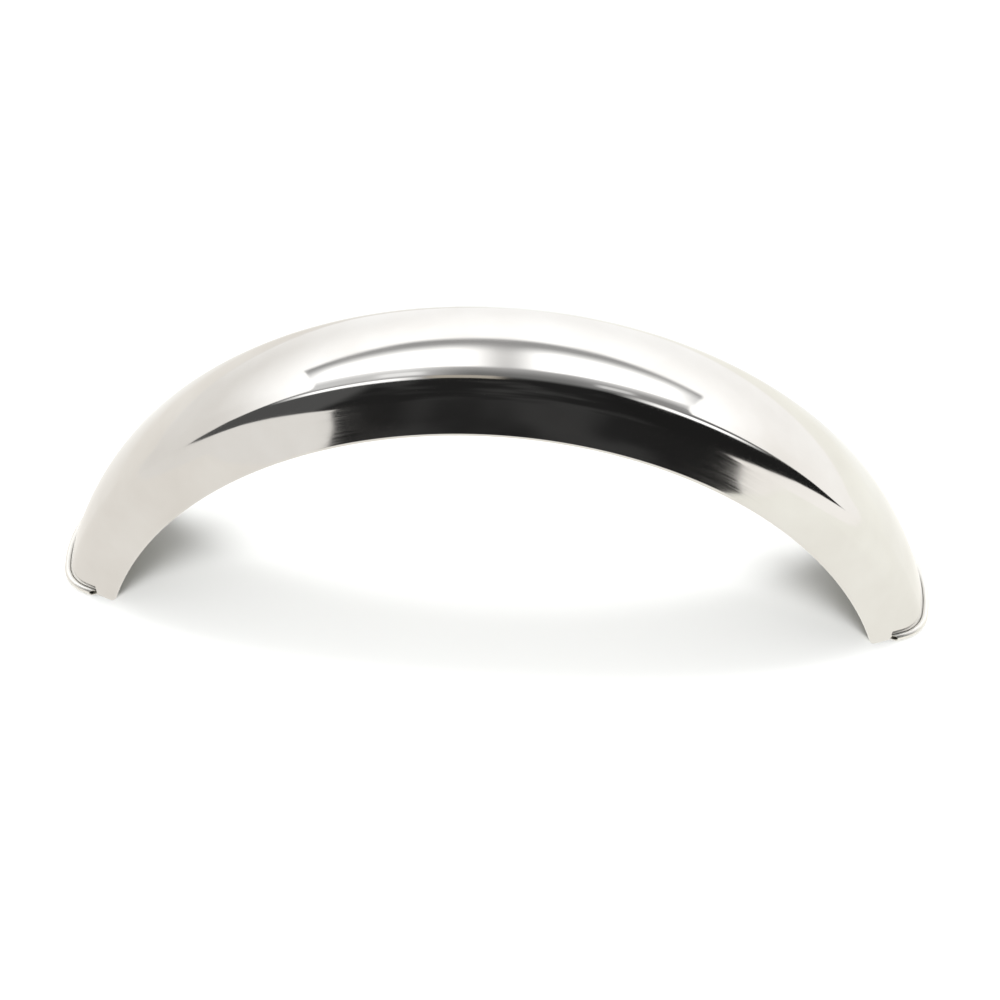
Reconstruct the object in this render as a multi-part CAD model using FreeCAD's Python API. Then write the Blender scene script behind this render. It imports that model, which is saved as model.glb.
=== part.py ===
import FreeCAD, Part
import math
import os

# Moped mudguard, pressed from one strip of stainless steel sheet and bent round the wheel.
# Frame: X along the wheel's travel, Y along the axle, Z up. The origin is on the ground
# under the middle: the mudguard stands on its two ends, which are cut level, crown upwards.

# Driving dimensions, in millimetres and degrees
sheet = 0.8               # thickness of the steel
edge_radius = 250.0       # axle to the lip of the side edges
section_height = 35.5     # from that lip up to the top of the crown
section_width = 90.0      # across both side edges
skirt_lean = 23.0         # flare of the flat skirts
crown_radius = 90.0       # cross curve of the crown, outside
shoulder_radius = 22.0    # bend between a skirt and the crown, outside
edge_bend_radius = 2.0    # bend where a side edge turns in, outside
edge_lip = 3.0            # flat lip beyond that bend, towards the tyre
half_arc = 67.2           # wheel angle from the top to where the side edges meet the ends
curl_radius = 2.0         # outward curl of the two ends, outside
curl_turn = 300.0         # how far the ends are curled, short of touching the sheet again
curl_step = 0.1           # how far the start of the curl stands out from the sheet
flat_corner = 10.0        # skirt left uncurled beside each side edge
corner_slit = 0.3         # saw cut between that corner and the curl
curl_taper = 6.0          # length over which the curl's open end slopes up

axle = FreeCAD.Vector(0, 0, 0)
along_axle = FreeCAD.Vector(0, 1, 0)
travel = FreeCAD.Vector(1, 0, 0)
up = FreeCAD.Vector(0, 0, 1)


def direction(angle):
    """Unit vector in the section plane, turned from the axle line towards the rim."""
    turn = math.radians(angle)
    return FreeCAD.Vector(0, math.cos(turn), math.sin(turn))


def mirrored(point):
    """The same point on the other side of the wheel's plane."""
    return FreeCAD.Vector(point.x, -point.y, point.z)


def arc(centre, radius, start, end):
    """Arc in the section plane between two angles."""
    angles = (start, (start + end) / 2, end)
    return Part.Arc(*[centre + direction(angle) * radius for angle in angles]).toShape()


def filled(edges):
    """Flat face inside a closed run of edges."""
    return Part.Face(Part.Wire(Part.sortEdges(edges)[0]))


# A bend is a centre, an outside radius and the angles where it starts and ends. One that ends
# where it starts marks the end of a straight run.
def rounded(foot, lean, bend_radius, top_centre, top_radius):
    """Length of a leaning side, then the bend over to a crowned top, and that top."""
    side = direction(lean + 90)
    start = foot - direction(lean) * bend_radius
    reach = start - top_centre
    climb = reach.dot(side)
    excess = reach.dot(reach) - (top_radius - bend_radius) ** 2
    length = math.sqrt(climb ** 2 - excess) - climb
    centre = start + side * length
    end = math.degrees(math.atan2(centre.z - top_centre.z, centre.y))
    return length, (centre, bend_radius, lean, end), (top_centre, top_radius, end, 180 - end)


# Section. Every bend turns the same way, so the inside of the sheet has the same centres.
inwards = -90
edge_centre = FreeCAD.Vector(0, section_width / 2 - edge_bend_radius, edge_radius + edge_bend_radius)
lip = (edge_centre - along_axle * edge_lip, edge_bend_radius, inwards, inwards)
edge = (edge_centre, edge_bend_radius, inwards, skirt_lean)
skirt_foot = edge_centre + direction(skirt_lean) * edge_bend_radius
crown_top = up * (edge_radius + section_height)
crown_centre = crown_top - up * crown_radius
skirt_length, shoulder, crown = rounded(
    skirt_foot, skirt_lean, shoulder_radius, crown_centre, crown_radius)


def other_side(bend):
    """The same bend on the far skirt, run through in the order of the section."""
    centre, radius, start, end = bend
    return (mirrored(centre), radius, 180 - end, 180 - start)


def rail(bends, depth):
    """One face of the sheet as edges and its two end points: bends joined by straight runs."""
    edges = []
    ends = []
    for centre, radius, start, end in bends:
        first = centre + direction(start) * (radius - depth)
        if ends and not ends[-1].isEqual(first, sheet / 100):
            edges.append(Part.makeLine(ends[-1], first))
        if end > start:
            edges.append(arc(centre, radius - depth, start, end))
        ends += [first, centre + direction(end) * (radius - depth)]
    return edges, ends[0], ends[-1]


def strip(bends):
    """Cut face of the sheet along a run of bends."""
    outside, outside_start, outside_end = rail(bends, 0)
    inside, inside_start, inside_end = rail(bends, sheet)
    caps = [Part.makeLine(outside_start, inside_start), Part.makeLine(outside_end, inside_end)]
    return filled(outside + inside + caps)


# The ends are level. Their outline is the section again, stretched a little because the level
# plane cuts it askew. It is drawn upright like the section, and laid down afterwards.
level = edge_radius * math.cos(math.radians(half_arc))
ground = level - curl_radius


def at_end(point):
    """Where the arc through a point of the section comes down to the level of the curl."""
    return FreeCAD.Vector(0, point.y, math.sqrt(point.z ** 2 - level ** 2))


end_foot = at_end(skirt_foot)
end_side = at_end(skirt_foot + direction(skirt_lean + 90) * skirt_length) - end_foot
end_side.normalize()
end_lean = math.degrees(math.atan2(-end_side.y, end_side.z))
end_out = direction(end_lean)

end_top = at_end(crown_top)
crown_edge = at_end(crown_centre + direction(crown[2]) * crown_radius)
crown_drop = end_top.z - crown_edge.z
end_crown_radius = (crown_edge.y ** 2 + crown_drop ** 2) / (2 * crown_drop)
stretch = (end_top.z - at_end(up * edge_radius).z) / section_height
end_shoulder_radius = shoulder_radius * math.sqrt(stretch)
end_crown_centre = end_top - up * end_crown_radius
end_length, end_shoulder, end_crown = rounded(
    end_foot, end_lean, end_shoulder_radius, end_crown_centre, end_crown_radius)


def curl_face(foot, angle):
    """Cut face of an end's outward curl, above a foot point on the sheet's outside."""
    outward = direction(angle)
    bore = curl_radius - sheet
    centre = foot + outward * (bore + curl_step)
    root = -math.degrees(math.asin(curl_step / bore))

    def at(radius, turn):
        turned = math.radians(turn)
        return centre - outward * (radius * math.cos(turned)) + travel * (radius * math.sin(turned))

    def bow(radius):
        turns = (root, (root + curl_turn) / 2, curl_turn)
        return Part.Arc(*[at(radius, turn) for turn in turns]).toShape()

    caps = [Part.makeLine(at(bore, turn), at(curl_radius, turn)) for turn in (root, curl_turn)]
    return filled([bow(bore), bow(curl_radius)] + caps)


def curl_round(bend):
    """The curl carried round one bend of the outline."""
    centre, radius, start, end = bend
    face = curl_face(centre + direction(start) * radius, start)
    return face.revolve(centre, travel, end - start)


def curl_up_skirt():
    """The curl on one skirt, its open end sloped so that the hollow shows."""
    foot = end_foot + end_side * (flat_corner + corner_slit)
    run = curl_face(foot, end_lean).extrude(end_side * (end_length - flat_corner - corner_slit))
    across = travel * (3 * curl_radius)
    low = foot - across - end_out * sheet
    high = low + end_out * (3 * curl_radius)
    slope = Part.makePolygon([low, high, high + end_side * (1.5 * curl_taper), low])
    return run.cut(Part.Face(slope).extrude(across * 2))


def laid(shape):
    """A shape drawn upright at the end, laid down to the level where it belongs."""
    return shape.rotated(axle, along_axle, 90).translated(up * level)


half_curl = curl_up_skirt().fuse(curl_round(end_shoulder))
far_half_curl = half_curl.mirror(axle, along_axle)
front_curl = laid(half_curl.fuse([far_half_curl, curl_round(end_crown)]))

# Between its corners the sheet stops where the curl begins.
beyond = 2 * edge_radius
corner = end_foot + end_side * flat_corner
notch_half = [corner - end_out * (3 * curl_radius), corner + end_out * (3 * curl_radius)]
notch_half.append(FreeCAD.Vector(0, beyond, beyond))
notch_points = notch_half + [mirrored(point) for point in reversed(notch_half)]
notch = Part.Face(Part.makePolygon(notch_points + notch_points[:1]))
front_notch = laid(notch.extrude(travel * (3 * curl_radius)))

# The long arch runs down past the ground, and everything under the ground is cut off.
low_turn = half_arc + math.degrees(math.asin(section_height / edge_radius))
near_side = [lip, edge, shoulder]
far_side = [other_side(bend) for bend in reversed(near_side)]
section = strip(near_side + [crown] + far_side)
arch = section.rotated(axle, along_axle, -low_turn).revolve(axle, along_axle, 2 * low_turn)
below = Part.makeBox(2 * beyond, beyond, beyond, FreeCAD.Vector(-beyond, -beyond / 2, ground - beyond))
arch = arch.cut([below, front_notch, front_notch.mirror(axle, travel)])

mudguard = arch.fuse([front_curl, front_curl.mirror(axle, travel)]).removeSplitter().Solids[0]
mudguard.translate(up * -ground)

os.makedirs("parts", exist_ok=True)
mudguard.exportStep("parts/mudguard.step")
box = mudguard.optimalBoundingBox()
print("mudguard", mudguard.ShapeType, "solids", len(mudguard.Solids), "valid", mudguard.isValid())
print("size", round(box.XLength, 2), round(box.YLength, 2), round(box.ZLength, 2))
print("volume", round(mudguard.Volume / 1000, 2), "cm3, shoulder ends at", round(shoulder[3], 2))
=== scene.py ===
# %% [markdown]
# # A moped mudguard in polished stainless steel
# The real mudguard is one strip of thin stainless sheet, pressed to a section and bent round the
# wheel. This lesson loads the part as it was made in CAD, lays a smooth polished skin of the same
# form over it, and puts it in a white photo tent, because a mirror looks like what stands round it.

import math

import bmesh
import bpy
from mathutils import Matrix, Vector


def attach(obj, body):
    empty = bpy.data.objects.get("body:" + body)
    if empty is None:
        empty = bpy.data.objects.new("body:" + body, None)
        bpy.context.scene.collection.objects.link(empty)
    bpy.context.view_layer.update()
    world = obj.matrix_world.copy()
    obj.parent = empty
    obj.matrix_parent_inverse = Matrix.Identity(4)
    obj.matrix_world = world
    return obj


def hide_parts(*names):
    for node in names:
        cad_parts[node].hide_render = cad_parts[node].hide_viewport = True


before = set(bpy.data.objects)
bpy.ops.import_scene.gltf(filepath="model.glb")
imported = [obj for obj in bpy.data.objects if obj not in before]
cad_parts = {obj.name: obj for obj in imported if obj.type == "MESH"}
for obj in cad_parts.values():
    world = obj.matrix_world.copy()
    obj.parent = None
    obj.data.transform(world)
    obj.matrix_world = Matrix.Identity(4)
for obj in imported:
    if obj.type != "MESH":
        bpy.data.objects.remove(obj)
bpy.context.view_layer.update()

# %% [markdown]
# ## The section
# The CAD model's faces are flat triangles, and a mirror shows every one of them. So the sheet is
# modelled again at the same sizes with many more faces and smooth shading. The sizes are those of
# the pressing: a flared skirt, a round shoulder, a gently crowned top and an edge turned in to a lip.

# %% Sizes of the pressing, in metres and degrees
MM = 0.001
SHEET = 0.8 * MM
EDGE_RADIUS = 250 * MM
SECTION_HEIGHT = 35.5 * MM
SECTION_WIDTH = 90 * MM
SKIRT_LEAN = 23.0
CROWN_RADIUS = 90 * MM
SHOULDER_RADIUS = 22 * MM
EDGE_BEND_RADIUS = 2 * MM
EDGE_LIP = 3 * MM
HALF_ARC = 67.2
CURL_RADIUS = 2 * MM
CURL_BORE = CURL_RADIUS - SHEET
CURL_TURN = 305.0
CURL_TAPER = 6 * MM
FLAT_CORNER = 10 * MM

LEVEL = CURL_RADIUS
AXLE = Vector((0, 0, LEVEL - EDGE_RADIUS * math.cos(math.radians(HALF_ARC))))
print("axle lies", round(-AXLE.z / MM, 2), "mm under the floor")


# %% Places in the section
def direction(angle):
    """Unit vector in the section plane, from level (0) to straight up (90)."""
    turn = math.radians(angle)
    return Vector((0, math.cos(turn), math.sin(turn)))


skirt_up = direction(SKIRT_LEAN + 90)
edge_centre = AXLE + Vector((0, SECTION_WIDTH / 2 - EDGE_BEND_RADIUS, EDGE_RADIUS + EDGE_BEND_RADIUS))
crown_centre = AXLE + Vector((0, 0, EDGE_RADIUS + SECTION_HEIGHT - CROWN_RADIUS))
skirt_foot = edge_centre + direction(SKIRT_LEAN) * EDGE_BEND_RADIUS
roll_foot = skirt_foot + skirt_up * FLAT_CORNER

# The shoulder's centre runs up beside the skirt until its bend touches the crown's curve.
shoulder_foot = skirt_foot - direction(SKIRT_LEAN) * SHOULDER_RADIUS
reach = shoulder_foot - crown_centre
climb = reach.dot(skirt_up)
excess = reach.dot(reach) - (CROWN_RADIUS - SHOULDER_RADIUS) ** 2
skirt_length = math.sqrt(climb ** 2 - excess) - climb
shoulder_centre = shoulder_foot + skirt_up * skirt_length
shoulder_end = math.degrees(math.atan2(shoulder_centre.z - crown_centre.z, shoulder_centre.y))
print("flat skirt", round(skirt_length / MM, 2), "mm")
print("shoulder ends at", round(shoulder_end, 2), "degrees")

# %% [markdown]
# ## Bending the strip
# A press brake makes this section bend by bend, and so does this cell: a single point is drawn along
# the sheet, extruded for each flat and spun round a centre for each bend. Only a quarter is drawn,
# from the lip to the middle of the crown, and mirrored later, so the four corners are truly alike.

# %% A point at the lip, drawn along the section
BEND_STEPS = 12
SHOULDER_STEPS = 26
CROWN_STEPS = 10
ACROSS = Vector((0, 1, 0))
ALONG = Vector((1, 0, 0))
UP = Vector((0, 0, 1))

bpy.ops.object.select_all(action="DESELECT")
bpy.ops.mesh.primitive_plane_add(size=MM)
mudguard = bpy.context.object
mudguard.name = "polished_mudguard"
bpy.ops.object.mode_set(mode="EDIT")
bpy.ops.mesh.select_all(action="SELECT")
bpy.ops.mesh.merge(type="CENTER")
bpy.ops.transform.translate(value=edge_centre - UP * EDGE_BEND_RADIUS - ACROSS * EDGE_LIP)


def flat(vector):
    """Draws what is selected on in a straight line."""
    bpy.ops.mesh.extrude_region_move(TRANSFORM_OT_translate={"value": vector})


def bend(centre, axis, angle, steps):
    """Draws what is selected on round an axis. With no window, spin turns the other way."""
    bpy.ops.mesh.spin(steps=steps, angle=math.radians(angle), center=centre, axis=-axis)


flat(ACROSS * EDGE_LIP)
bend(edge_centre, ALONG, SKIRT_LEAN + 90, BEND_STEPS)
flat(skirt_up * FLAT_CORNER)
flat(skirt_up * (skirt_length - FLAT_CORNER))
bend(shoulder_centre, ALONG, shoulder_end - SKIRT_LEAN, SHOULDER_STEPS)
bend(crown_centre, ALONG, 90 - shoulder_end, CROWN_STEPS)
mudguard.update_from_editmode()
crown_height = max(point.co.z for point in mudguard.data.vertices)
print("section of", len(mudguard.data.vertices), "points, crown at", round(crown_height / MM, 2), "mm")

# %% [markdown]
# ## Bending it round the wheel
# Rollers curve the pressed strip round the wheel. Here the drawn section is spun about the axle,
# which lies below the floor because the mudguard stands on its two ends. Those ends are sawn level,
# not square to the arch, so every line along the arch is then let run on until it comes down to one
# level. Each point only moves along its own circle round the axle, which leaves the form as it was.

# %% Half of the arch
ARCH_STEPS = 80

bpy.ops.mesh.select_all(action="SELECT")
bend(AXLE, ACROSS, HALF_ARC, ARCH_STEPS)


def on_circle(place, turn):
    """The point of the same circle round the axle at a turn from the top, in radians."""
    radius = math.hypot(place.x, place.z - AXLE.z)
    return Vector((radius * math.sin(turn), place.y, AXLE.z + radius * math.cos(turn)))


def turn_at(place, height):
    """Turn at which a point's circle round the axle comes down to a height."""
    return math.acos((height - AXLE.z) / math.hypot(place.x, place.z - AXLE.z))


mesh = bmesh.from_edit_mesh(mudguard.data)
for point in mesh.verts:
    share = math.atan2(point.co.x, point.co.z - AXLE.z) / math.radians(HALF_ARC)
    point.co = on_circle(point.co, share * turn_at(point.co, LEVEL))
bmesh.update_edit_mesh(mudguard.data)
lowest = min(point.co.z for point in mesh.verts)
print("arch of", len(mesh.faces), "faces, down to", round(lowest / MM, 3), "mm")

# %% [markdown]
# ## The curled end
# Each end is rolled outwards over a wire-sized mandrel, so that it is stiff and safe to touch. The
# roll stops short of the side edges, where it would have to bend two ways at once: there the sheet
# is left as a small flat corner that reaches the floor, and the roll's open end slopes back to it.

# %% The flat corner
NEAR = MM / 1000
CLOSE = 1e-6
corner_turn = turn_at(roll_foot, LEVEL)

mesh = bmesh.from_edit_mesh(mudguard.data)
for point in mesh.verts:
    on_end = abs(point.co.z - LEVEL) < NEAR
    point.select_set(on_end and turn_at(point.co, LEVEL) < corner_turn + CLOSE)
mesh.select_flush_mode()
bmesh.update_edit_mesh(mudguard.data)
flat(Vector())
mesh = bmesh.from_edit_mesh(mudguard.data)
corner = [point for point in mesh.verts if point.select]
for point in corner:
    point.co = on_circle(point.co, turn_at(point.co, 0))
bmesh.update_edit_mesh(mudguard.data)
print("flat corner drawn from", len(corner), "points")

# %% [markdown]
# The roll follows a line that curves two ways, which no single spin can draw. So its rows are placed
# by reckoning: from each point of the end line, one step after another round the mandrel. The first
# point of every row is held back along the skirt, more the further it stands out, which makes the
# sloped opening.

# %% The end line, and which way the sheet faces there
SLACK = 1e-3

mesh = bmesh.from_edit_mesh(mudguard.data)
end_line = [point for point in mesh.verts if abs(point.co.z - LEVEL) < NEAR]
end_line = [point for point in end_line if turn_at(point.co, LEVEL) > corner_turn - CLOSE]
end_line.sort(key=lambda point: turn_at(point.co, LEVEL))
places = [point.co.copy() for point in end_line]


def facing(place):
    """Direction in which the outside of the sheet faces at a place on the end line."""
    turn = turn_at(place, LEVEL)
    upright = Matrix.Rotation(-turn, 3, "Y") @ (place - AXLE) + AXLE
    spoke = upright - crown_centre
    angle = math.degrees(math.atan2(spoke.z, spoke.y))
    if angle < shoulder_end - SLACK:
        spoke = upright - shoulder_centre
        angle = max(SKIRT_LEAN, math.degrees(math.atan2(spoke.z, spoke.y)))
    return Matrix.Rotation(turn, 3, "Y") @ direction(angle)


outs = [facing(place) for place in places]
ahead = places[1:] + [places[-2] * Vector((1, -1, 1))]
behind = places[:1] + places[:-1]
downs = [out.cross(b - a).normalized() for out, a, b in zip(outs, ahead, behind)]
downs = [down * math.copysign(1, -down.z) for down in downs]
up_the_skirt = (places[1] - places[0]).normalized()
print("end line of", len(places), "points, lowest slope", round(max(down.z for down in downs), 3))

# %% The roll
ROLL_STEPS = 28
ROLL_FINISH = 3

row = end_line
for step in range(1, ROLL_STEPS + 1):
    turn = math.radians(CURL_TURN) * step / ROLL_STEPS
    stand = CURL_BORE * (1 - math.cos(turn))
    sink = CURL_BORE * math.sin(turn)
    moves = [out * stand + down * sink for out, down in zip(outs, downs)]
    new_row = [mesh.verts.new(place + move) for place, move in zip(places, moves)]
    new_row[0].co += up_the_skirt * (CURL_TAPER * stand / (2 * CURL_RADIUS))
    for i in range(len(row) - 1):
        face = mesh.faces.new((row[i], row[i + 1], new_row[i + 1], new_row[i]))
        face.material_index = ROLL_FINISH
    row = new_row
bmesh.update_edit_mesh(mudguard.data)
bpy.ops.mesh.select_all(action="SELECT")
bpy.ops.mesh.remove_doubles(threshold=NEAR)
bpy.ops.mesh.normals_make_consistent(inside=False)
bpy.ops.object.mode_set(mode="OBJECT")
top_face = max(mudguard.data.polygons, key=lambda face: face.center.z)
if top_face.normal.z < 0:
    mudguard.data.flip_normals()
print("quarter of", len(mudguard.data.polygons), "faces")

# %% [markdown]
# ## The whole sheet
# Two mirror planes make the other three quarters. The sheet has no thickness yet: Solidify adds it on
# the inside, so the outer face keeps its size, and gives that inside and the cut edges finishes of
# their own. In the roll, inside and outside change places, so its faces start from a slot further on.
# The corners are sawn off level with the floor, and a narrow bevel breaks the edges, as deburring does.

# %% Mirror, thickness and broken edges
DEBURR = 0.12 * MM
SHARP_EDGE = 50
SMOOTH_EDGE = 35

# The inside's colour is painted darker as painted shade, and the roll wall's colour is painted lighter as
# painted light.
polished = bpy.data.materials.new("polished_stainless_steel")
mill_finish_painted_darker = bpy.data.materials.new("mill_finish_steel_painted_darker")
cut_edge = bpy.data.materials.new("cut_stainless_edge")
lightened_roll_wall = bpy.data.materials.new("roll_wall_steel_painted_lighter")
for material in (polished, mill_finish_painted_darker, cut_edge, mill_finish_painted_darker, lightened_roll_wall, cut_edge):
    mudguard.data.materials.append(material)

mirror = mudguard.modifiers.new("other quarters", "MIRROR")
mirror.use_axis = (True, True, False)
mirror.merge_threshold = NEAR
bpy.ops.object.modifier_apply(modifier=mirror.name)
thickness = mudguard.modifiers.new("sheet", "SOLIDIFY")
thickness.thickness = SHEET
thickness.offset = -1
thickness.use_even_offset = True
thickness.material_offset = 1
thickness.material_offset_rim = 2
bpy.ops.object.modifier_apply(modifier=thickness.name)
for point in mudguard.data.vertices:
    point.co.z = max(point.co.z, 0)
edges = mudguard.modifiers.new("deburred edges", "BEVEL")
edges.width = DEBURR
edges.segments = 2
edges.limit_method = "ANGLE"
edges.angle_limit = math.radians(SHARP_EDGE)
bpy.ops.object.modifier_apply(modifier=edges.name)
bpy.ops.object.shade_smooth_by_angle(angle=math.radians(SMOOTH_EDGE))
triangles = sum(len(face.vertices) - 2 for face in mudguard.data.polygons)
print("sheet of", len(mudguard.data.polygons), "faces,", triangles, "triangles")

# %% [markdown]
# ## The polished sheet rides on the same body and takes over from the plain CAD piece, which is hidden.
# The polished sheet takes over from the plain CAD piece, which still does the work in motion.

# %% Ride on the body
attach(mudguard, "root")
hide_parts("mudguard")
print(mudguard.name, "stands for mudguard")

# %% [markdown]
# ## Stainless steel
# Polishing wheels run along the arch, so what they leave are very fine lines in that direction, which
# blur a reflection more across than along. Sheet is also never quite flat: it holds slow waves from
# the press. Both are drawn from each point's place: its turn round the axle, its distance from it and
# its place across. The same lines, deeper and wider apart, make the dull inside as it came from the
# rolling mill. The real lines are some hundredths of a millimetre apart and are drawn coarser, at about
# half a millimetre, because finer ones vanish at this distance.

# %% Colours and nodes
def linear(code):
    """Linear colour from an sRGB hex code."""
    parts = [int(code[i:i + 2], 16) / 255 for i in (1, 3, 5)]
    return [p / 12.92 if p < 0.04045 else ((p + 0.055) / 1.055) ** 2.4 for p in parts] + [1]


def add_node(tree, kind, settings, inputs):
    """Adds one node with its settings, and sets or links its inputs."""
    node = tree.nodes.new(kind)
    for name, value in settings.items():
        setattr(node, name, value)
    for socket, value in inputs.items():
        if isinstance(value, bpy.types.NodeSocket):
            tree.links.new(value, node.inputs[socket])
        else:
            node.inputs[socket].default_value = value
    return node


# %% Steel with lines along the arch
CLOUD = 40 * MM
CLOUD_RANGE = (0.3, 0.7)
WEAR_RANGE = (0.12, 0.4)


def finish_steel(material, tones, roughness, line_width, line_length, line_depth, wave_depth):
    """Bare steel between two tones and two roughnesses, with lines and waves of a given size."""
    light, dark = [linear(tone) for tone in tones]
    material.use_nodes = True
    tree = material.node_tree
    tree.nodes.clear()
    place = add_node(tree, "ShaderNodeTexCoord", {}, {}).outputs["Object"]
    x, y, z = add_node(tree, "ShaderNodeSeparateXYZ", {}, {0: place}).outputs
    height = add_node(tree, "ShaderNodeMath", {"operation": "SUBTRACT"}, {0: z, 1: AXLE.z}).outputs[0]
    turn = add_node(tree, "ShaderNodeMath", {"operation": "ARCTAN2"}, {0: x, 1: height}).outputs[0]
    shrunk = EDGE_RADIUS * line_width / line_length
    length = add_node(tree, "ShaderNodeMath", {"operation": "MULTIPLY"}, {0: turn, 1: shrunk}).outputs[0]
    spoke = add_node(tree, "ShaderNodeCombineXYZ", {}, {"X": x, "Z": height}).outputs[0]
    radius = add_node(tree, "ShaderNodeVectorMath", {"operation": "LENGTH"}, {0: spoke}).outputs["Value"]
    strand = add_node(tree, "ShaderNodeCombineXYZ", {}, {"X": y, "Y": radius, "Z": length}).outputs[0]
    lines = add_node(tree, "ShaderNodeTexNoise", {}, {
        "Vector": strand, "Scale": 1 / line_width, "Detail": 2.0, "Roughness": 0.6}).outputs["Fac"]
    clouds = add_node(tree, "ShaderNodeTexNoise", {}, {
        "Vector": place, "Scale": 1 / CLOUD, "Detail": 3.0}).outputs["Fac"]
    tone = add_node(tree, "ShaderNodeMapRange", {}, {
        "Value": clouds, "From Min": CLOUD_RANGE[0], "From Max": CLOUD_RANGE[1]}).outputs[0]
    colour = add_node(tree, "ShaderNodeMix", {"data_type": "RGBA"}, {
        0: tone, 6: light, 7: dark}).outputs[2]
    wear = add_node(tree, "ShaderNodeMath", {"operation": "MULTIPLY"}, {0: lines, 1: clouds}).outputs[0]
    gloss = add_node(tree, "ShaderNodeMapRange", {}, {
        "Value": wear, "From Min": WEAR_RANGE[0], "From Max": WEAR_RANGE[1],
        "To Min": roughness[0], "To Max": roughness[1]}).outputs[0]
    grain = add_node(tree, "ShaderNodeBump", {}, {"Height": lines, "Distance": line_depth}).outputs[0]
    waves = add_node(tree, "ShaderNodeBump", {}, {
        "Height": clouds, "Distance": wave_depth, "Normal": grain}).outputs[0]
    shader = add_node(tree, "ShaderNodeBsdfPrincipled", {}, {
        "Base Color": colour, "Metallic": 1.0, "Roughness": gloss, "Normal": waves})
    add_node(tree, "ShaderNodeOutputMaterial", {}, {"Surface": shader.outputs[0]})
    print(material.name, "of", len(tree.nodes), "nodes")


# Polished outside: a bright mirror, a little warm, with edges in it that are soft but clear.
finish_steel(
    polished, ("#DCDBD9", "#D5D3D0"), (0.04, 0.11),
    line_width=0.5 * MM, line_length=60 * MM, line_depth=0.0006 * MM, wave_depth=0.02 * MM)
# Inside as rolled: dull, with no picture in it, only light and shade; its colour is also painted darker,
# as painted shade for the dim inside of the arch.
finish_steel(
    mill_finish_painted_darker, ("#8A897F", "#7F7D73"), (0.28, 0.45),
    line_width=0.8 * MM, line_length=40 * MM, line_depth=0.003 * MM, wave_depth=0.03 * MM)
# Wall of the roll, rubbed satin by the mandrel; its colour is painted brighter than the outside, as
# painted light that makes the roll read pale.
finish_steel(
    lightened_roll_wall, ("#F0EFEB", "#E8E6E1"), (0.34, 0.46),
    line_width=0.6 * MM, line_length=30 * MM, line_depth=0.002 * MM, wave_depth=0.02 * MM)
# Sawn and filed edges: short rough marks that catch light as a thin dull line.
finish_steel(
    cut_edge, ("#CFCDC8", "#BDBBB5"), (0.25, 0.45),
    line_width=0.3 * MM, line_length=2 * MM, line_depth=0.004 * MM, wave_depth=0.0)

# %% [markdown]
# ## The floor
# The mudguard stands on white cloth. The cloth ends in front of it, at the mouth of the tent, and this
# is why the near skirt shows the dark room beyond. To the camera the cloth is matt and keeps the
# shadow, and further off, where no shadow falls, it fades to plain white. In the steel it is a plain
# light: a little dim and warm on the left, lighter on the right, and lightest behind the middle, where
# the arch leaves it open to the roof of the tent.

# %% White cloth
FLOOR_SIZE = 12
FLOOR_FRONT = -0.6
FLOOR_MIDDLE = FLOOR_FRONT + FLOOR_SIZE / 2

bpy.ops.object.select_all(action="DESELECT")
bpy.ops.mesh.primitive_plane_add(size=FLOOR_SIZE, location=(0, FLOOR_MIDDLE, 0))
floor = bpy.context.object
floor.name = "floor"
cloth = bpy.data.materials.new("white_cloth")
floor.data.materials.append(cloth)
print("floor from", FLOOR_FRONT, "m in front of the middle")

# %% The cloth as the steel shows it
LEFT_LIGHT = (1.02, 0.985, 0.93, 1)
RIGHT_LIGHT = (1.18, 1.17, 1.09, 1)
BACK_LIGHT = (1.25, 1.27, 1.25, 1)
LEFT_TO_RIGHT = (-0.24, 0.48)
MIDDLE_TO_SIDE = (0.1, 0.5)
FRONT_TO_BACK = (0, 0.2)

cloth.use_nodes = True
weave = cloth.node_tree
weave.nodes.clear()
spot = add_node(weave, "ShaderNodeTexCoord", {}, {}).outputs["Object"]
across, back, _ = add_node(weave, "ShaderNodeSeparateXYZ", {}, {0: spot}).outputs
rightward = add_node(weave, "ShaderNodeMapRange", {}, {
    "Value": across, "From Min": LEFT_TO_RIGHT[0], "From Max": LEFT_TO_RIGHT[1]}).outputs[0]
in_front = add_node(weave, "ShaderNodeMix", {"data_type": "RGBA"}, {
    0: rightward, 6: LEFT_LIGHT, 7: RIGHT_LIGHT}).outputs[2]
off_middle = add_node(weave, "ShaderNodeMath", {"operation": "ABSOLUTE"}, {0: across}).outputs[0]
sideward = add_node(weave, "ShaderNodeMapRange", {}, {
    "Value": off_middle, "From Min": MIDDLE_TO_SIDE[0], "From Max": MIDDLE_TO_SIDE[1]}).outputs[0]
behind_arch = add_node(weave, "ShaderNodeMix", {"data_type": "RGBA"}, {
    0: sideward, 6: BACK_LIGHT, 7: in_front}).outputs[2]
past_arch = add_node(weave, "ShaderNodeMath", {"operation": "ADD"}, {0: back, 1: FLOOR_MIDDLE}).outputs[0]
backward = add_node(weave, "ShaderNodeMapRange", {}, {
    "Value": past_arch, "From Min": FRONT_TO_BACK[0], "From Max": FRONT_TO_BACK[1]}).outputs[0]
in_steel = add_node(weave, "ShaderNodeMix", {"data_type": "RGBA"}, {
    0: backward, 6: in_front, 7: behind_arch}).outputs[2]
shine = add_node(weave, "ShaderNodeEmission", {}, {"Color": in_steel, "Strength": 1.0}).outputs[0]
print("cloth in the steel of", len(weave.nodes), "nodes")

# %% The cloth as the camera sees it
WHITE = (1, 1, 1, 1)
WHITE_FROM = 0.7
WHITE_TO = 1.3

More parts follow.
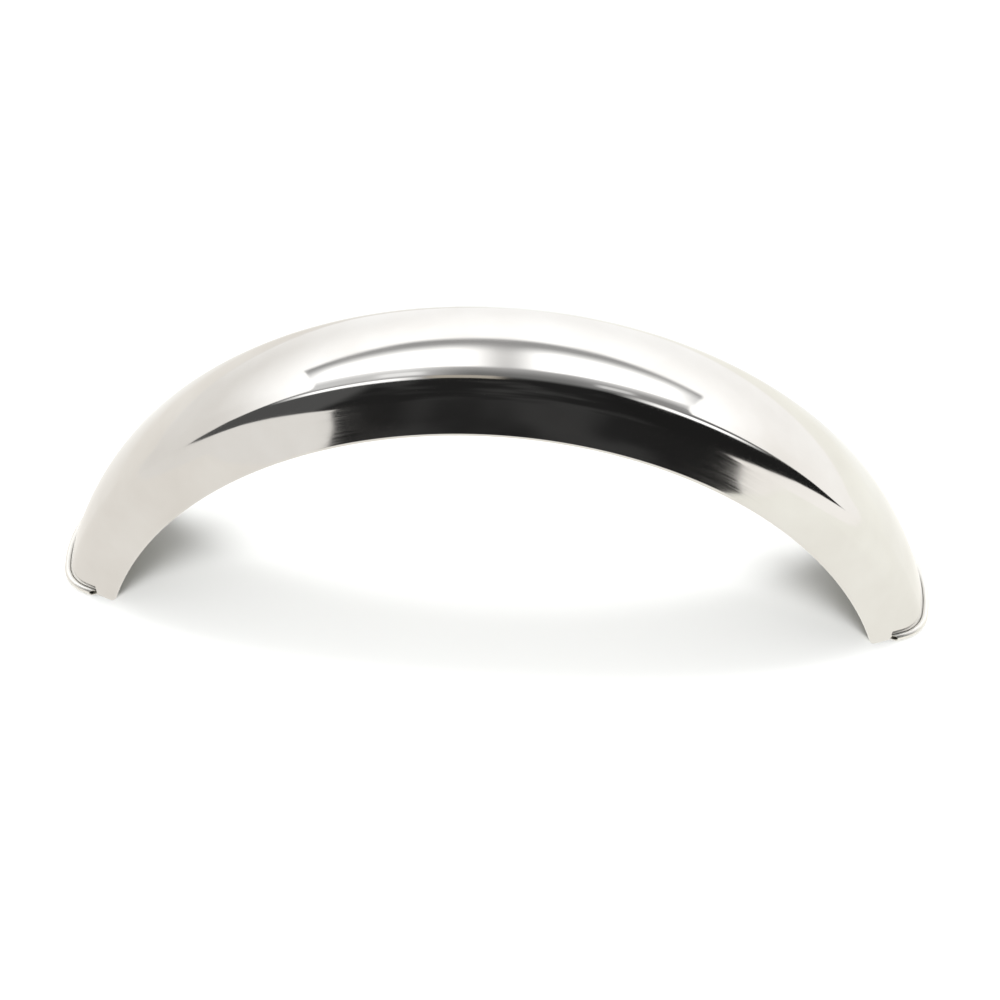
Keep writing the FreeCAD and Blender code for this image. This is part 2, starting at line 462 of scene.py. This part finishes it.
matt = add_node(weave, "ShaderNodeBsdfDiffuse", {}, {"Color": linear("#F4F5F4")}).outputs[0]
white = add_node(weave, "ShaderNodeEmission", {}, {"Color": WHITE, "Strength": 1.0}).outputs[0]
away = add_node(weave, "ShaderNodeVectorMath", {"operation": "DISTANCE"}, {
    0: spot, 1: (0, -FLOOR_MIDDLE, 0)}).outputs["Value"]
far = add_node(weave, "ShaderNodeMapRange", {}, {
    "Value": away, "From Min": WHITE_FROM, "From Max": WHITE_TO}).outputs[0]
plain = add_node(weave, "ShaderNodeMixShader", {}, {0: far, 1: matt, 2: white}).outputs[0]
mirrored = add_node(weave, "ShaderNodeLightPath", {}, {}).outputs["Is Glossy Ray"]
surface = add_node(weave, "ShaderNodeMixShader", {}, {0: mirrored, 1: plain, 2: shine}).outputs[0]
add_node(weave, "ShaderNodeOutputMaterial", {}, {"Surface": surface})
cloth.cycles.emission_sampling = "NONE"
print("cloth of", len(weave.nodes), "nodes")

# %% [markdown]
# ## The photo tent
# What the steel shows is a tent of white cloth with a wide mouth towards the camera. Through the mouth
# it shows a dark room, and above that a grey ceiling with two soft boxes and two lamps. All of this is
# painted on the world by two angles: the side, from left to right, and the rise, from level in front
# over the top to level behind. The lift is the plain height above the floor.

# %% Angles
world = bpy.data.worlds.new("photo_tent")
bpy.context.scene.world = world
world.use_nodes = True
sky = world.node_tree
sky.nodes.clear()
way = add_node(sky, "ShaderNodeTexCoord", {}, {}).outputs["Generated"]
x, y, z = add_node(sky, "ShaderNodeSeparateXYZ", {}, {0: way}).outputs
front = add_node(sky, "ShaderNodeMath", {"operation": "MULTIPLY"}, {0: y, 1: -1.0}).outputs[0]
angles = []
for operation, inputs in (
        ("ARCSINE", {0: x}),
        ("ARCTAN2", {0: z, 1: front}),
        ("ARCSINE", {0: z})):
    turn = add_node(sky, "ShaderNodeMath", {"operation": operation}, inputs).outputs[0]
    angles.append(add_node(sky, "ShaderNodeMath", {"operation": "DEGREES"}, {0: turn}).outputs[0])
side, rise, lift = angles
side_and_rise = add_node(sky, "ShaderNodeCombineXYZ", {}, {"X": side, "Y": rise}).outputs[0]
print("side, rise and lift from", len(sky.nodes), "nodes")


# %% Ways to paint
LEFT, RIGHT = -90.0, 90.0
LOWEST, HIGHEST = -20.0, 180.0
GREEN_SHARE = 0.4


def above_line(points):
    """How far a direction lies above a line drawn through points of side and rise."""
    marks = [((s - LEFT) / (RIGHT - LEFT), (r - LOWEST) / (HIGHEST - LOWEST)) for s, r in points]
    share = add_node(sky, "ShaderNodeMapRange", {}, {"Value": side, "From Min": LEFT, "From Max": RIGHT})
    curve = add_node(sky, "ShaderNodeFloatCurve", {}, {"Value": share.outputs[0]})
    line = curve.mapping.curves[0]
    for mark in marks[2:]:
        line.points.new(*mark)
    for point, mark in zip(line.points, marks):
        point.location = mark
        point.handle_type = "VECTOR"
    curve.mapping.update()
    height = add_node(sky, "ShaderNodeMapRange", {}, {
        "Value": curve.outputs[0], "To Min": LOWEST, "To Max": HIGHEST})
    return add_node(sky, "ShaderNodeMath", {"operation": "SUBTRACT"}, {
        0: rise, 1: height.outputs[0]}).outputs[0]


def painted(under, value, start, end, colour):
    """One colour laid over others, coming in softly while a value goes from start to end."""
    share = add_node(sky, "ShaderNodeMapRange", {"interpolation_type": "SMOOTHSTEP"}, {
        "Value": value, "From Min": start, "From Max": end})
    return add_node(sky, "ShaderNodeMix", {"data_type": "RGBA"}, {
        0: share.outputs[0], 6: under, 7: colour}).outputs[2]


def lamp(under, middle, half, tilt, soft, colour):
    """A soft-edged rectangle laid over others round a side and rise."""
    local = add_node(sky, "ShaderNodeMapping", {"vector_type": "TEXTURE"}, {
        "Vector": side_and_rise, "Location": (*middle, 0),
        "Rotation": (0, 0, math.radians(tilt)), "Scale": (*half, 1)})
    size = add_node(sky, "ShaderNodeVectorMath", {"operation": "ABSOLUTE"}, {0: local.outputs[0]})
    fade = add_node(sky, "ShaderNodeMapRange", {
        "data_type": "FLOAT_VECTOR", "interpolation_type": "SMOOTHSTEP"}, {
        6: size.outputs[0], 7: (1 + soft,) * 3, 8: (1 - soft,) * 3, 9: (0, 0, 0), 10: (1, 1, 1)})
    pair = add_node(sky, "ShaderNodeSeparateXYZ", {}, {0: fade.outputs["Vector"]}).outputs
    share = add_node(sky, "ShaderNodeMath", {"operation": "MULTIPLY"}, {0: pair[0], 1: pair[1]})
    return add_node(sky, "ShaderNodeMix", {"data_type": "RGBA"}, {
        0: share.outputs[0], 6: under, 7: colour}).outputs[2]


def grey(value, warm=0.0):
    """A light of one strength, a little yellow if it is warm: less green, and still less blue."""
    return (value, value * (1 - warm * GREEN_SHARE), value * (1 - warm), 1)


# %% [markdown]
# The picture in the steel is laid down from the floor upwards: the pale lower flaps of the tent, the
# room over them with the dim things that stand in it, the ceiling over the room, the lamps, and last the
# tent's own cloth, which hides all that lies above its mouth.

# %% The room, seen through the mouth of the tent
THINGS_SCALE = 4.0

flap_edge = above_line([
    (-90, 45), (-70, 36), (-64, 29), (-50, 26), (-40, 19), (-30, 10), (-23, 3), (-21, -20),
    (26.5, -20), (29.5, 0), (37, 4.5), (46, 9), (55, 15), (65, 18), (72, 19), (90, 24)])
flaps = painted(grey(1.0, 0.06), side, -10, 40, grey(1.24, 0.06))
things = add_node(sky, "ShaderNodeTexNoise", {}, {
    "Vector": way, "Scale": THINGS_SCALE, "Detail": 2.0}).outputs["Fac"]
# Dim things stand in the dark, which is a little lighter on the left and deepest on the right.
room = painted(grey(0.02), things, 0.42, 0.68, grey(0.05))
room = painted(room, side, -26, -31, grey(0.10))
room = painted(room, side, 14, 24, grey(0.016))
surround = painted(flaps, flap_edge, -1.5, 1.5, room)
print("flaps and room, up to", len(sky.nodes), "nodes")

# %% The ceiling
# It grows lighter as it comes nearer, most on the left, and is dim again beyond the soft boxes.
left_ceiling = painted(grey(0.8), rise, 86, 102, grey(1.2))
right_ceiling = painted(grey(0.36), rise, 84, 104, grey(0.9))
ceiling = painted(grey(0.23), rise, 78, 106, grey(0.6))
ceiling = painted(ceiling, side, -6, -24, left_ceiling)
ceiling = painted(ceiling, side, 12, 28, right_ceiling)
ceiling = painted(ceiling, rise, 116, 124, grey(0.42))
surround = painted(surround, rise, 68, 78, ceiling)
print("ceiling, up to", len(sky.nodes), "nodes")

# %% Lamps, each with its middle and half size in side and rise, its tilt, its softness and its light
LAMPS = (
    # Two soft boxes overhead
    ((-22.5, 113), (18.5, 12), 0, 0.4, grey(2.0)),
    ((21.5, 114.5), (17.5, 11.5), 4, 0.4, grey(2.0)),
    # Two lamps in front
    ((-33, 67), (13.5, 3.8), 6, 0.5, grey(1.8)),
    ((42.5, 64.5), (14, 4), -27, 0.5, grey(1.8)),
    # Small lights on the ceiling
    ((-23, 83), (5, 5), 0, 0.4, grey(1.15)),
    ((24.5, 84), (4, 4), 0, 0.4, grey(0.85)),
    ((-9, 70.5), (8, 4), 0, 0.3, grey(0.55, 0.2)),
)

for middle, half, tilt, soft, colour in LAMPS:
    surround = lamp(surround, middle, half, tilt, soft, colour)
print(len(LAMPS), "lamps in the tent")

# %% The tent
mouth_edge = above_line([
    (-90, 10), (-72, 25), (-68, 42), (-62, 58), (-52, 70), (-43, 79), (-41, 132), (-18, 134),
    (18, 134), (40, 132), (42, 79), (54, 71), (60, 66), (66, 60), (72, 50), (78, 25), (90, 10)])
# The cloth is lightest overhead, dimmer and warm on the left, and a little warm on the right.
tent = painted(grey(1.3, 0.01), side, -10, -50, grey(0.98, 0.06))
tent = painted(tent, side, 10, 50, grey(1.27, 0.03))
tent = painted(tent, lift, 10, 42, grey(1.56, 0.01))
tent = painted(tent, side, -44, -68, grey(0.98, 0.06))
tent = painted(tent, side, 46, 70, grey(1.24, 0.05))
surround = painted(surround, mouth_edge, -2.4, 1.2, tent)
print("tent, up to", len(sky.nodes), "nodes")

# %% Light
sight = add_node(sky, "ShaderNodeLightPath", {}, {}).outputs["Is Camera Ray"]
seen = add_node(sky, "ShaderNodeMix", {"data_type": "RGBA"}, {
    0: sight, 6: surround, 7: WHITE}).outputs[2]
light = add_node(sky, "ShaderNodeBackground", {}, {"Color": seen, "Strength": 1.0})
add_node(sky, "ShaderNodeOutputWorld", {}, {"Surface": light.outputs[0]})
print("photo tent of", len(sky.nodes), "nodes")

# %% [markdown]
# ## Lamps over the floor
# Two soft lamps hang over the cloth, one in front of the arch and one behind it, and leave a deep shadow
# only inside each end. They are kept out of the steel, where they would be two more white streaks.

# %% Lamps over the floor
LAMP_SIZE = 0.8
LAMP_DISTANCE = 2.5
WATTS_AND_TILT = {"front_lamp": (38, 30), "back_lamp": (32, -20)}

for name, (watts, tilt) in WATTS_AND_TILT.items():
    bulb = bpy.data.lights.new(name, "AREA")
    bulb.size = LAMP_SIZE
    bulb.energy = watts
    hung = bpy.data.objects.new(name, bulb)
    bpy.context.scene.collection.objects.link(hung)
    hung.rotation_euler = (math.radians(tilt), 0, 0)
    hung.location = hung.rotation_euler.to_matrix() @ Vector((0, 0, LAMP_DISTANCE))
    hung.visible_camera = False
    hung.visible_glossy = False
    print(name, "at", [round(c, 2) for c in hung.location])

# %% [markdown]
# ## The camera
# It looks down on the near skirt from a little to the right of the middle. Its place and its directions
# come from fitting the part's own outline to the photograph.

# %% Camera
CAMERA_PLACE = (0.03641, -0.57304, 0.66149)
CAMERA_RIGHT = Vector((0.99779, 0.06592, 0.00827))
CAMERA_UP = Vector((-0.05336, 0.72096, 0.69092))
CAMERA_BACK = Vector((0.03958, -0.68983, 0.72289))
FOCAL_LENGTH = 49.68
SENSOR_WIDTH = 36

lens = bpy.data.cameras.new("camera")
lens.lens = FOCAL_LENGTH
lens.sensor_width = SENSOR_WIDTH
camera = bpy.data.objects.new("camera", lens)
bpy.context.scene.collection.objects.link(camera)
camera.matrix_world = Matrix((CAMERA_RIGHT, CAMERA_UP, CAMERA_BACK)).transposed().to_4x4()
camera.location = CAMERA_PLACE
bpy.context.scene.camera = camera
bpy.context.scene.view_settings.view_transform = "Standard"
print("camera at", [round(c, 3) for c in camera.location])
